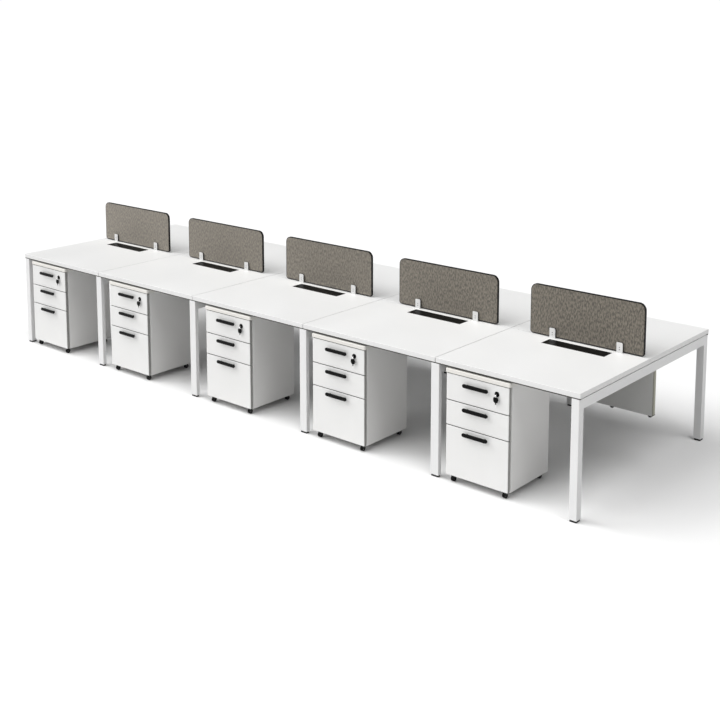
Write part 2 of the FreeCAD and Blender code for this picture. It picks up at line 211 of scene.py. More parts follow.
def bent_sheet(line, t, bend, n=4):
    """outline of a folded sheet: a centre line with rounded bends, t thick"""
    pts = []
    for k, p in enumerate(line):
        if k in (0, len(line) - 1):
            pts.append(Vector(p))
            continue
        a, b, c = Vector(line[k - 1]), Vector(p), Vector(line[k + 1])
        u, w = (a - b).normalized(), (c - b).normalized()
        half = u.angle(w) / 2
        cut = bend / math.tan(half)
        s, e = b + u * cut, b + w * cut
        mid = b + (u + w).normalized() * (bend / math.sin(half))
        a0, a1 = math.atan2((s - mid).y, (s - mid).x), math.atan2((e - mid).y, (e - mid).x)
        while a1 - a0 > math.pi:
            a1 -= 2 * math.pi
        while a1 - a0 < -math.pi:
            a1 += 2 * math.pi
        for q in range(n + 1):
            g = a0 + (a1 - a0) * q / n
            pts.append(mid + Vector((math.cos(g), math.sin(g))) * bend)
    left, right = [], []
    for k, p in enumerate(pts):
        d = (pts[min(k + 1, len(pts) - 1)] - pts[max(k - 1, 0)]).normalized()
        nrm = Vector((-d.y, d.x)) * (t / 2)
        left.append(tuple(p + nrm))
        right.append(tuple(p - nrm))
    return left, right


def folded(line, t, bend, d0, d1, plane="yz"):
    left, right = bent_sheet(line, t, bend)
    m = len(left)
    verts = [placed(p, d, plane) for d in (d0, d1) for p in left + right]
    faces, k = [], 2 * m
    for i in range(m - 1):
        faces.append((i, i + 1, k + i + 1, k + i))
        faces.append((m + i, k + m + i, k + m + i + 1, m + i + 1))
        faces.append((i, m + i, m + i + 1, i + 1))
        faces.append((k + i, k + i + 1, k + m + i + 1, k + m + i))
    faces.append((0, k, k + m, m))
    faces.append((m - 1, m + m - 1, k + m + m - 1, k + m - 1))
    return Geo().put(verts, faces)


# ------------------------------------------------------------- pieces
def mesh_of(name, geo, mat, local=False):
    me = bpy.data.meshes.new(name)
    ox, oy = (0.0, 0.0) if local else (OX, OY)
    me.from_pydata([((x - ox) * MM, (y - oy) * MM, z * MM) for x, y, z in geo.v], [], geo.f)
    bm = bmesh.new()
    bm.from_mesh(me)
    bmesh.ops.recalc_face_normals(bm, faces=bm.faces[:])
    bm.to_mesh(me)
    bm.free()
    me.materials.append(mat)
    me.shade_smooth()
    me.set_sharp_from_angle(angle=math.radians(50))
    return me


def piece(name, mesh, body, nodes, at=None):
    o = bpy.data.objects.new(name, mesh)
    bpy.context.scene.collection.objects.link(o)
    if at is not None:
        o.location = ((at[0] - OX) * MM, (at[1] - OY) * MM, 0.0)
    w = o.modifiers.new("normals", "WEIGHTED_NORMAL")
    w.keep_sharp = True
    w.weight = 80
    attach(o, body)
    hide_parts(*([nodes] if isinstance(nodes, str) else nodes))
    return o


def make(name, geo, mat, body, nodes):
    return piece(name, mesh_of(name, geo, mat), body, nodes)


# ------------------------------------------------------------- materials
class Nodes:
    def __init__(self, name):
        self.m = bpy.data.materials.new(name)
        self.m.use_nodes = True
        self.t = self.m.node_tree
        self.b = self.t.nodes["Principled BSDF"]
        self.co = self.t.nodes.new("ShaderNodeTexCoord").outputs["Object"]

    def put(self, socket, value):
        if isinstance(value, bpy.types.NodeSocket):
            self.t.links.new(value, socket)
        else:
            socket.default_value = value

    def scaled(self, sx, sy, sz, shift=(0, 0, 0)):
        node = self.t.nodes.new("ShaderNodeMapping")
        self.t.links.new(self.co, node.inputs["Vector"])
        node.inputs["Scale"].default_value = (sx, sy, sz)
        node.inputs["Location"].default_value = shift
        return node.outputs["Vector"]

    def noise(self, vector=None, scale=1.0, detail=2.0, rough=0.5):
        node = self.t.nodes.new("ShaderNodeTexNoise")
        self.t.links.new(vector or self.co, node.inputs["Vector"])
        node.inputs["Scale"].default_value = scale
        node.inputs["Detail"].default_value = detail
        node.inputs["Roughness"].default_value = rough
        return node.outputs["Fac"]

    def math(self, op, a, b=0.0, c=0.0):
        node = self.t.nodes.new("ShaderNodeMath")
        node.operation = op
        for i, v in enumerate((a, b, c)):
            self.put(node.inputs[i], v)
        return node.outputs["Value"]

    def remap(self, value, a0, a1, b0, b1):
        node = self.t.nodes.new("ShaderNodeMapRange")
        node.clamp = True
        self.put(node.inputs["Value"], value)
        for k, v in (("From Min", a0), ("From Max", a1), ("To Min", b0), ("To Max", b1)):
            node.inputs[k].default_value = v
        return node.outputs["Result"]

    def mix(self, fac, a, b, blend="MIX"):
        node = self.t.nodes.new("ShaderNodeMix")
        node.data_type = "RGBA"
        node.blend_type = blend
        self.put(node.inputs["Factor"], fac)
        self.put([s for s in node.inputs if s.name == "A" and s.type == "RGBA"][0], a)
        self.put([s for s in node.inputs if s.name == "B" and s.type == "RGBA"][0], b)
        return [s for s in node.outputs if s.type == "RGBA"][0]

    def bump(self, height, strength, distance, normal=None):
        node = self.t.nodes.new("ShaderNodeBump")
        node.inputs["Strength"].default_value = strength
        node.inputs["Distance"].default_value = distance
        self.t.links.new(height, node.inputs["Height"])
        if normal is not None:
            self.t.links.new(normal, node.inputs["Normal"])
        return node.outputs["Normal"]


def rgb(c, k=1.0):
    return (c[0] * k, c[1] * k, c[2] * k, 1.0)


def finish(name, colour, rough, vary=0.02, vary_scale=5.0, speck=0.0, speck_scale=700.0,
           grain=0.1, grain_scale=900.0, grain_depth=0.00005, rough_vary=0.05, metal=0.0,
           spec=0.5, coat=0.0, coat_rough=0.1, stretch=(1, 1, 1), edge=None):
    """a solid finish: slow drift of tone, fine specks, a fine raised grain, uneven gloss and, when a side colour
    is given, upright faces painted darker as painted shade
    """
    k = Nodes(name)
    slow = k.noise(scale=vary_scale, detail=3.0)
    col = k.mix(k.remap(slow, 0.3, 0.7, 0.0, 1.0), rgb(colour, 1 - vary), rgb(colour, 1 + vary))
    fine = k.noise(k.scaled(*stretch), scale=grain_scale, detail=2.0)
    if speck:
        dots = k.noise(scale=speck_scale, detail=1.0)
        col = k.mix(k.remap(dots, 0.62, 0.75, 0.0, speck), col, rgb(colour, 0.5))
    if edge:
        # painted shade: every upright face (board edges, seam ends, hole walls) is painted darker than the top,
        # so the seams between boards read as dark shaded lines
        face = k.t.nodes.new("ShaderNodeSeparateXYZ")
        k.t.links.new(k.t.nodes.new("ShaderNodeTexCoord").outputs["Normal"], face.inputs["Vector"])
        flat = k.remap(k.math("ABSOLUTE", face.outputs["Z"]), 0.35, 0.60, 0.0, 1.0)
        col = k.mix(flat, rgb(edge), col)
    k.put(k.b.inputs["Base Color"], col)
    k.put(k.b.inputs["Roughness"], k.remap(slow, 0.25, 0.75, rough - rough_vary, rough + rough_vary))
    k.b.inputs["Metallic"].default_value = metal
    k.b.inputs["Specular IOR Level"].default_value = spec
    k.b.inputs["Coat Weight"].default_value = coat
    k.b.inputs["Coat Roughness"].default_value = coat_rough
    k.put(k.b.inputs["Normal"], k.bump(fine, grain, grain_depth))
    return k.m


M = {}
# laminated board: pearl texture, slow drift of tone, faint scuffs in the gloss; its upright faces are painted
# darker as painted shade for the seams
M["desktop"] = finish("laminate_white", (0.725, 0.725, 0.72), 0.40, vary=0.012, vary_scale=2.2,
                      speck=0.02, speck_scale=420, grain=0.25, grain_scale=1300,
                      grain_depth=0.00004, rough_vary=0.06, spec=0.45, edge=(0.63, 0.63, 0.625))
M["frame"] = finish("powder_coat_white", (0.65, 0.65, 0.65), 0.44, vary=0.012, vary_scale=6,
                    grain=0.3, grain_scale=650, grain_depth=0.00006, rough_vary=0.05)
M["ped"] = finish("carcass_white", (0.65, 0.645, 0.635), 0.42, vary=0.012, vary_scale=4,
                  speck=0.015, grain=0.2, grain_scale=900, grain_depth=0.00005)
M["front"] = finish("drawer_front_white", (0.66, 0.658, 0.65), 0.42, vary=0.012, vary_scale=5,
                    grain=0.2, grain_scale=1000, grain_depth=0.00004)
# painted shade: dark grey for the sides of the drawer fronts, standing in for the shade in the gaps round them
M["band"] = finish("front_edge_band", (0.25, 0.25, 0.24), 0.50, vary=0.03, vary_scale=10,
                   grain=0.3, grain_scale=900, grain_depth=0.00005, spec=0.3)
M["plate"] = finish("top_plate_cream", (0.65, 0.635, 0.60), 0.42, vary=0.012, vary_scale=5,
                    grain=0.2, grain_scale=900, grain_depth=0.00004)
M["inner"] = finish("drawer_liner", (0.50, 0.50, 0.49), 0.50, vary=0.03, vary_scale=8,
                    speck=0.03, grain=0.2, grain_scale=800, grain_depth=0.00005)
M["glide"] = finish("glide_plastic", (0.012, 0.012, 0.012), 0.50, vary=0.12, vary_scale=60,
                    grain=0.4, grain_scale=1400, grain_depth=0.00006, spec=0.25)
# painted shade: the spacer strips are real packing, coloured near-black so the gap under the boards reads as a
# dark shadow line
M["strip"] = finish("spacer_painted_shade", (0.030, 0.030, 0.026), 0.65, vary=0.1, vary_scale=40,
                    grain=0.4, grain_scale=1100, grain_depth=0.00008)
M["trim"] = finish("trim_plastic", (0.0055, 0.0055, 0.0055), 0.46, vary=0.1, vary_scale=30,
                   grain=0.3, grain_scale=1500, grain_depth=0.00004, spec=0.12)
M["clamp"] = finish("clamp_white", (0.64, 0.64, 0.635), 0.40, vary=0.012, vary_scale=20,
                    grain=0.25, grain_scale=900, grain_depth=0.00005)
M["screw"] = finish("screw_steel", (0.055, 0.055, 0.057), 0.34, vary=0.1, vary_scale=300,
                    grain=0.3, grain_scale=3000, grain_depth=0.00002, metal=1.0)
M["steel"] = finish("zinc_steel", (0.55, 0.56, 0.57), 0.32, vary=0.06, vary_scale=25,
                    grain=0.25, grain_scale=500, grain_depth=0.00003, metal=1.0,
                    stretch=(1.0, 0.05, 1.0))
M["chrome"] = finish("key_chrome", (0.78, 0.78, 0.78), 0.14, vary=0.03, vary_scale=150,
                     grain=0.15, grain_scale=1800, grain_depth=0.00002, metal=1.0)
M["flap"] = finish("flap_frame_plastic", (0.0028, 0.0028, 0.0028), 0.34, vary=0.15, vary_scale=15,
                   grain=0.25, grain_scale=1700, grain_depth=0.00003, spec=0.02)
M["lid"] = finish("flap_lid_plastic", (0.0035, 0.0035, 0.0034), 0.34, vary=0.12, vary_scale=18,
                  grain=0.2, grain_scale=1700, grain_depth=0.00003, spec=0.045)
M["panel"] = finish("panel_grey", (0.40, 0.40, 0.39), 0.45, vary=0.015, vary_scale=4,
                    grain=0.2, grain_scale=800, grain_depth=0.00005)
# painted shade: dark olive for the ends of the modesty panels, standing in for the shade there
M["edge"] = finish("panel_edge_band", (0.125, 0.125, 0.095), 0.50, vary=0.03, vary_scale=12,
                   grain=0.3, grain_scale=900, grain_depth=0.00005)
# painted shade: the panel posts are white frame parts, painted olive grey for the shade under the desks
M["post"] = finish("post_painted_shade", (0.30, 0.295, 0.235), 0.50, vary=0.03, vary_scale=12,
                   grain=0.3, grain_scale=700, grain_depth=0.00005)
M["clip"] = finish("clip_plastic", (0.009, 0.009, 0.0085), 0.50, vary=0.1, vary_scale=50,
                   grain=0.3, grain_scale=1400, grain_depth=0.00005, spec=0.2)
M["handle"] = finish("handle_black", (0.0030, 0.0030, 0.0030), 0.38, vary=0.1, vary_scale=30,
                     grain=0.35, grain_scale=1600, grain_depth=0.00004, spec=0.08)
M["key"] = finish("key_head_plastic", (0.0018, 0.0018, 0.0018), 0.42, vary=0.1, vary_scale=80,
                  grain=0.3, grain_scale=1800, grain_depth=0.00003, spec=0.06)
M["castor"] = finish("castor_plastic", (0.0070, 0.0070, 0.0070), 0.46, vary=0.12, vary_scale=60,
                     grain=0.35, grain_scale=1500, grain_depth=0.00005, spec=0.18)
M["tyre"] = finish("castor_tyre", (0.0065, 0.0065, 0.0065), 0.60, vary=0.15, vary_scale=70,
                   grain=0.5, grain_scale=1200, grain_depth=0.00008, spec=0.15)
M["hub"] = finish("castor_hub", (0.075, 0.075, 0.075), 0.42, vary=0.1, vary_scale=80,
                  grain=0.3, grain_scale=1600, grain_depth=0.00003, spec=0.3)
M["tray"] = finish("tray_steel", (0.58, 0.58, 0.57), 0.45, vary=0.02, vary_scale=6,
                   grain=0.3, grain_scale=700, grain_depth=0.00006)


def fabric():
    """melange upholstery cloth: upright heather streaks, slubs in two greys, a plain weave
    and a soft nap"""
    k = Nodes("screen_fabric")
    slub = k.noise(k.scaled(1 / 0.0044, 1 / 0.0044, 1 / 0.0120), detail=3.0, rough=0.6)
    yarn = k.noise(k.scaled(1 / 0.0013, 1 / 0.0013, 1 / 0.0045, (3.1, 0.4, 7.7)), detail=2.0)
    cloud = k.noise(scale=9.0, detail=2.0)
    heather = k.noise(k.scaled(1 / 0.0088, 1 / 0.0088, 1 / 0.0210, (0.7, 5.3, 2.9)), detail=1.5)
    base = (0.078, 0.068, 0.053)
    col = k.mix(k.remap(heather, 0.40, 0.60, 0.0, 1.0), rgb(base, 0.16), rgb(base, 2.05))
    col = k.mix(k.remap(slub, 0.30, 0.70, 0.0, 0.45), col, rgb(base, 0.74))
    col = k.mix(k.remap(yarn, 0.35, 0.65, 0.0, 0.30), col, rgb((0.080, 0.074, 0.062)))
    col = k.mix(k.remap(cloud, 0.3, 0.7, 0.0, 0.08), col, rgb(base, 1.3))
    k.put(k.b.inputs["Base Color"], col)
    k.put(k.b.inputs["Roughness"], k.remap(slub, 0.3, 0.7, 0.86, 0.98))
    k.b.inputs["Specular IOR Level"].default_value = 0.25
    k.b.inputs["Sheen Weight"].default_value = 1.0
    k.b.inputs["Sheen Roughness"].default_value = 0.55
    k.b.inputs["Sheen Tint"].default_value = (1.0, 0.93, 0.83, 1.0)
    # plain weave: threads over and under at about 1.3 mm
    sep = k.t.nodes.new("ShaderNodeSeparateXYZ")
    k.t.links.new(k.co, sep.inputs["Vector"])
    u = k.math("SINE", k.math("MULTIPLY", sep.outputs["X"], 2 * math.pi / 0.0014))
    w = k.math("SINE", k.math("MULTIPLY", sep.outputs["Z"], 2 * math.pi / 0.0014))
    weave = k.math("MULTIPLY", u, w)
    n1 = k.bump(weave, 0.35, 0.00012)
    n2 = k.bump(slub, 0.45, 0.00035, n1)
    k.put(k.b.inputs["Normal"], n2)
    return k.m


M["fabric"] = fabric()

# ------------------------------------------------------------- desktops
hole_r, edge_r = 0.5, 1.6
for i in range(5):
    x0 = SEAMS[i] + (2.0 if i > 0 else 0.0)
    x1 = SEAMS[i + 1] - (2.0 if i < 4 else 0.0)
    y0, y1 = 0.0, ROW - 2.0
    hx0, hx1, hy0, hy1 = FLAP_X[i] - 220.5, FLAP_X[i] + 220.5, 665.5, 768.5

    def outer(inset):
        return rrect(x0, y0, x1, y1, 2.2, inset, 4)

    def cut(inset):
        return rrect(hx0, hy0, hx1, hy1, 0.6, inset, 4)

    verts, faces = [], []
    rings = [("o", a, b) for a, b in rim(TOP_Z, -1, edge_r, 4)]
    rings += [("o", a, b) for a, b in rim(UNDER, 1, edge_r, 3)[::-1]]
    rings += [("h", -0.3, UNDER), ("h", 0.0, UNDER + 0.3), ("h", 0.0, TOP_Z - 0.3), ("h", -0.3, TOP_Z)]
    for kind, inset, z in rings:
        verts += [(a, b, z) for a, b in (outer(inset) if kind == "o" else cut(inset))]
    m = 20
    for s in range(len(rings)):
        t = (s + 1) % len(rings)
        for a in range(m):
            b = (a + 1) % m
            faces.append((s * m + a, s * m + b, t * m + b, t * m + a))
    board = Geo().put(verts, faces)
    make("desktop_front_%d" % (i + 1), board, M["desktop"], "bench", "desktops_front")
    make("desktop_rear_%d" % (i + 1), board.flip_y(), M["desktop"], "bench",
         "desktops_rear")

# ------------------------------------------------------------- frames
portal = [(0, 12), (50, 12), (50, BEAM_Z), (DEPTH - 50, BEAM_Z), (DEPTH - 50, 12), (DEPTH, 12),
          (DEPTH, FRAME_Z), (0, FRAME_Z)]
for side, x0 in (("left", 5.5), ("right", LENGTH - 55.5)):
    make("end_frame_%s" % side, prism(portal, x0, x0 + 50.0, "yz", 2.6, 4), M["frame"],
         "bench", ("end_legs", "cross_beams"))
for i, s in enumerate(SEAMS[1:5]):
    leg = block(s - 30, 0, 12, s + 30, 30, FRAME_Z, 2.2, 4, "xy")
    beam = block(s - 25, 29.4, BEAM_Z, s + 25, DEPTH - 29.4, FRAME_Z, 2.2, 4, "xz")
    make("middle_frame_%d" % (i + 1), Geo().join(leg, leg.flip_y(), beam), M["frame"],
         "bench", ("middle_legs", "cross_beams"))
# spacer strips under the boards and a run along each front edge; their near-black colour is painted shade for
# the gap line
strips = Geo()
for xm in (30.5,) + SEAMS[1:5] + (LENGTH - 30.5,):
    s = block(xm - 15, 60, FRAME_Z, xm + 15, ROW - 60, UNDER, 1.0, 2)
    strips.join(s, s.flip_y())
for i in range(5):
    s = block(SEAMS[i] + 2.0, 2.0, FRAME_Z, SEAMS[i + 1] - 2.0, 14.0, UNDER, 0.6, 2)
    strips.join(s, s.flip_y())
make("spacer_strips", strips, M["strip"], "bench", "cross_beams")
feet = Geo()
for x0 in (5.5, LENGTH - 55.5):
    feet.join(block(x0 + 4.2, 4.2, 6.0, x0 + 45.8, 45.8, 12.0, 0.8, 2, "xy", 2.0),
              block(x0 + 3, 3, 0, x0 + 47, 47, 7.0, 1.6, 3, "xy", 3.0))
for s in SEAMS[1:5]:
    feet.join(block(s - 25.8, 4.2, 6.0, s + 25.8, 25.8, 12.0, 0.8, 2, "xy", 2.0),
              block(s - 27, 3, 0, s + 27, 27, 7.0, 1.6, 3, "xy", 3.0))
make("leg_glides_all", feet.both_rows(), M["glide"], "bench", "leg_glides")

beam_faces = [55.5]
for s in SEAMS[1:5]:
    beam_faces += [s - 25.0, s + 25.0]
beam_faces.append(LENGTH - 55.5)
for i in range(5):
    x0, x1 = beam_faces[2 * i], beam_faces[2 * i + 1]
    g = Geo()
    for y in (480.0, 745.0):
        g.join(block(x0, y, FRAME_Z - 40, x1, y + 40, FRAME_Z, 0.4, 4, "yz", 2.6))
    make("long_rails_bay_%d" % (i + 1), g.both_rows(), M["frame"], "bench", "long_rails")
    a, b = CENTRES[i] - 350.0, CENTRES[i] + 350.0
    line = [(643.75, 704.6), (643.75, 664.75), (744.25, 664.75), (744.25, 711.0)]
    make("cable_tray_bay_%d" % (i + 1), folded(line, 1.5, 2.0, a, b).both_rows(), M["tray"],
         "bench", "cable_trays")

# ------------------------------------------------------------- screens
for i in range(5):
    (x0, x1), z0, z1 = SCREEN_X[i], 754.0, 1080.0
    R = (18.0, 18.0, 45.0, 45.0)

    def screen_outline(inset):
        return rrect(x0, z0, x1, z1, R, inset, 12)

    cloth = stack(screen_outline, [(9.0, 807.0), (6.6, 807.15), (5.4, 807.6), (4.9, 808.4),
                                   (4.9, 821.6), (5.4, 822.4), (6.6, 822.85), (9.0, 823.0)])
    make("screen_fabric_%d" % (i + 1), cloth, M["fabric"], "bench", "screen_panels")
    lip = stack(screen_outline, [(0.0, 808.6), (0.3, 807.7), (0.9, 807.15), (1.8, 807.0), (4.0, 807.0),
                                 (4.7, 807.3), (5.0, 807.9), (5.0, 822.1), (4.7, 822.7), (4.0, 823.0),
                                 (1.8, 823.0), (0.9, 822.85), (0.3, 822.3), (0.0, 821.4), (0.0, 816.2),
                                 (0.35, 815.7), (0.35, 814.3), (0.0, 813.8)], closed=True)
    make("screen_trim_%d" % (i + 1), lip, M["trim"], "bench", "screen_edge_trims")
    metal, pads, screws = Geo(), Geo(), Geo()
    for cx in CLAMP_X[i]:
        a, b = cx - 21.0, cx + 21.0

        def cheek_outline(inset):
            return rrect(a, 750.0, b, 814.0, (1.2, 1.2, 9.0, 6.0), inset, 6)

        def pad_outline(inset):
            return rrect(a + 0.3, 754.0, b - 0.3, 813.4, (0.8, 0.8, 8.8, 5.8), inset, 6)

        cheek = slab(cheek_outline, 795.0, 798.0, 1.2, 0.3, 4)
        pad = slab(pad_outline, 797.95, 807.0, 0.2, 0.6, 3)
        pads.join(pad, pad.flip_y())
        dimples = Geo()
        for dz in (771.0, 785.0):
            # raised seat round each screw
            dimples.join(lathe([(2.9, 0.0), (4.6, 0.0), (4.6, -0.35), (4.3, -0.6), (3.2, -0.6),
                                (2.9, -0.3)], (cx, 795.0, dz), "y", 28, True))
            head = lathe([(0, 0.4), (1.15, 0.4, "hex"), (1.25, -0.9, "hex"), (1.6, -1.1), (2.1, -1.05),
                          (2.5, -0.7), (2.6, -0.2), (2.6, 0.6)], (cx, 795.0, dz), "y", 24)
            screws.join(head, head.flip_y())
        foot = block(a + 0.5, 797.5, 750.0, b - 0.5, 832.5, 754.0, 0.3, 2, "xy", 0.5)
        stem = block(cx - 16, 813.5, 716.0, cx + 16, 816.5, 750.2, 0.4, 2)
        jaw = block(cx - 16, 795.0, 713.0, cx + 16, 835.0, 716.0, 0.6, 2, "xy", 3.0)
        metal.join(cheek, cheek.flip_y(), dimples, dimples.flip_y(), foot, stem, jaw)
        for dy in (-14.0, 14.0):
            screws.join(lathe([(0, 716.0), (2.7, 716.0), (3.0, 716.4), (3.0, 720.0), (0, 720.0)],
                              (cx, ROW + dy, 0.0), "z", 20))
    make("screen_clamps_%d" % (i + 1), metal, M["clamp"], "bench", "screen_clamps")
    make("clamp_pads_%d" % (i + 1), pads, M["trim"], "bench", "screen_edge_trims")
    make("clamp_screws_%d" % (i + 1), screws, M["screw"], "bench", "clamp_screws")

# ------------------------------------------------------------- cable flaps
for i in range(5):
    xc = FLAP_X[i]
    x0, x1, y0, y1 = xc - 220.0, xc + 220.0, 666.0, 768.0

    def frame_outline(inset):
        return rrect(x0, y0, x1, y1, 2.0, inset, 4, 0.5)

    ring = stack(frame_outline, [(0.0, 730.0), (0.0, 749.0), (0.15, 749.5), (0.5, 749.85), (1.0, 750.0),
                                 (7.2, 750.0), (7.7, 749.8), (8.0, 749.3), (8.0, 746.0), (13.6, 746.0),
                                 (14.0, 745.6), (14.0, 730.0)], "xy", closed=True)
    make("flap_frame_front_%d" % (i + 1), ring, M["flap"], "bench", "flap_frames")
    make("flap_frame_rear_%d" % (i + 1), ring.flip_y(), M["flap"], "bench", "flap_frames")

    # lid: a thin moulded board with shallow cross grooves and a half-round hinge edge
    fx0, fx1, fy0, fy1 = x0 + 8.5, x1 - 8.5, y0 + 8.5, y1 - 8.5
    r = 1.85
    ya, za = fy1 - r, TOP_Z - r
    ys = [(fy0 + 0.0, -0.5), (fy0 + 0.15, -0.15), (fy0 + 0.5, 0.0), (fy0 + 4.0, 0.0), (fy0 + 5.2, None),
          (ya - 5.2, None), (ya - 4.0, 0.0), (ya, 0.0)]
    arc = [(ya + r * math.sin(math.radians(t)), za + r * math.cos(math.radians(t))) for t in range(15, 166, 15)]
    pitch, half = 30.7, 1.5
    xs = [fx0, fx0 + 0.5]
    depth = [0.0, 0.0]
    n_groove = int((fx1 - fx0 - 16.0) // pitch) + 1
    first = xc - (n_groove - 1) * pitch / 2.0
    for q in range(n_groove):
        gx = first + q * pitch
        for dx, dd in ((-half - 0.35, 0.0), (-half, 0.3), (-half + 0.35, 0.5), (half - 0.35, 0.5),
                       (half, 0.3), (half + 0.35, 0.0)):
            xs.append(gx + dx)
            depth.append(dd)
    xs += [fx1 - 0.5, fx1]
    depth += [0.0, 0.0]
    rows = []
    for q, (x, dd) in enumerate(zip(xs, depth)):
        end = 0.5 if q in (0, len(xs) - 1) else 0.0
        row = []
        for y, dz in ys:
            top = -dd if dz is None else dz
            row.append((x, y, TOP_Z + min(top, -end)))
        row += [(x, y, min(z, TOP_Z - end)) for y, z in arc]
        row += [(x, ya, TOP_Z - 3.7), (x, fy0 + 0.4, TOP_Z - 3.7), (x, fy0, TOP_Z - 3.3)]
        rows.append(row)
    m = len(rows[0])
    faces = []
    for q in range(len(rows) - 1):
        for a in range(m):
            b = (a + 1) % m
            faces.append((q * m + a, q * m + b, (q + 1) * m + b, (q + 1) * m + a))
    faces += [tuple(range(m)), tuple((len(rows) - 1) * m + a for a in range(m))]
    lid = Geo().put([p for row in rows for p in row], faces)
    for tag, g in (("front", lid), ("rear", lid.flip_y())):
        node = "cable_flap_%s_%d" % (tag, i + 1)
        make("flap_lid_%s_%d" % (tag, i + 1), g, M["lid"], node, node)

# ------------------------------------------------------------- modesty panels
posts, clips = Geo(), Geo()
for i in range(5):
    x0 = SEAMS[i] + (3.0 if i == 0 else 2.0)
    x1 = SEAMS[i + 1] - (3.0 if i == 4 else 2.0)
    make("modesty_panel_%d" % (i + 1), block(x0 + 0.8, 869.0, 374.0, x1 - 0.8, 885.0, 650.0, 0.8, 3, "xz"),
         M["panel"], "bench", "modesty_panels")
    # painted shade: dark strips over each end of the panel stand in for the shade at the panel ends
    bands = Geo().join(block(x0, 869.3, 374.3, x0 + 0.9, 884.7, 649.7, 0.3, 2, "yz"),
                       block(x1 - 0.9, 869.3, 374.3, x1, 884.7, 649.7, 0.3, 2, "yz"))
    make("panel_edge_bands_%d" % (i + 1), bands, M["edge"], "bench", "modesty_panels")
    for px in (x0 + 1.0, x1 - 21.0):
        if i == 0 and px < 100:
            px = 5.5
        if i == 4 and px > LENGTH - 100:
            px = LENGTH - 25.5
        posts.join(block(px, 885.0, 374.0, px + 20.0, 913.0, BEAM_Z, 1.6, 3, "xy"))
    for cx in (x0 + (15.0 if i == 0 else 19.0), x0 + 271.0, x1 - 271.0, x1 - (15.0 if i == 4 else 19.0)):
        deep = 913.0 if cx in (x0 + 15.0, x1 - 15.0) else 897.0
        low_arc = [(cx + 15.5125 * math.cos(math.radians(t)), 379.5125 + 15.5125 * math.sin(math.radians(t)))
                   for t in (201 + 6.9 * q for q in range(21))]
        clips.join(prism([(cx - 14.4, 374.0)] + [q for q in low_arc if q[1] < 373.8] + [(cx + 14.4, 374.0)],
                         869.2, deep, "xz", 0.0))
# the posts take the olive grey painted shade, not the frame's white
make("panel_posts", posts, M["post"], "bench", "cross_beams")
make("panel_clips", clips, M["clip"], "bench", "panel_edge_clips")

# ------------------------------------------------------------- pedestals
PW, PD = 455.0, 438.0
parts = {}


def local(name, geo, mat, slot, body, node):
    parts[name] = (mesh_of("ped_" + name, geo, mat, True), slot, body, node)


def plate_outline(inset):
    return rrect(0, 0, PW, PD, 8.0, inset, 6)


local("top_plate", slab(plate_outline, 682.0, 706.0, 1.2, 2.4, 4, "xy"), M["plate"], "pedestal_white",
      "", "cabinet")
carcass = Geo()
for a, b in ((2.0, 18.0), (437.0, 453.0)):
    carcass.join(slab(lambda q: rrect(29, 44, 436, 682.0, 1.6, q, 4), a, b, 1.6, 1.6, 4, "yz"))
carcass.join(block(17.8, 29.2, 44, 437.2, 435.8, 60, 0.8, 2), block(17.8, 428, 59.8, 437.2, 436, 682, 0.6, 2))
for z0, h in ((666.0, 16.0), (500.0, 12.0), (340.0, 16.0)):
    carcass.join(block(17.8, 29.4, z0, 437.2, 89, z0 + h, 0.8, 2))
local("carcass", carcass, M["ped"], "pedestal_white", "", "cabinet")


def channel(x0, x1, y0, y1, z0, z1, t, right):
    """a pressed slide member: web and two lips, open to the right or left"""
    g = 1.5
    if right:
        poly = [(x0, z0), (x1, z0), (x1, z0 + 5.5), (x1 - t, z0 + 5.5), (x1 - t, z0 + g), (x0 + t, z0 + g),
                (x0 + t, z1 - g), (x1 - t, z1 - g), (x1 - t, z1 - 5.5), (x1, z1 - 5.5), (x1, z1), (x0, z1)]
    else:
        poly = [(x1, z0), (x0, z0), (x0, z0 + 5.5), (x0 + t, z0 + 5.5), (x0 + t, z0 + g), (x1 - t, z0 + g),
                (x1 - t, z1 - g), (x0 + t, z1 - g), (x0 + t, z1 - 5.5), (x0, z1 - 5.5), (x0, z1), (x1, z1)]
    return prism(poly, y0, y1, "xz")


slides = Geo()
for z0 in (545.0, 400.0, 120.0):
    slides.join(channel(18.0, 23.7, 30, 426, z0, z0 + 30, 1.1, True),
                channel(431.3, 437.0, 30, 426, z0, z0 + 30, 1.1, False))
local("slides", slides, M["steel"], "screw_steel", "", "cabinet")

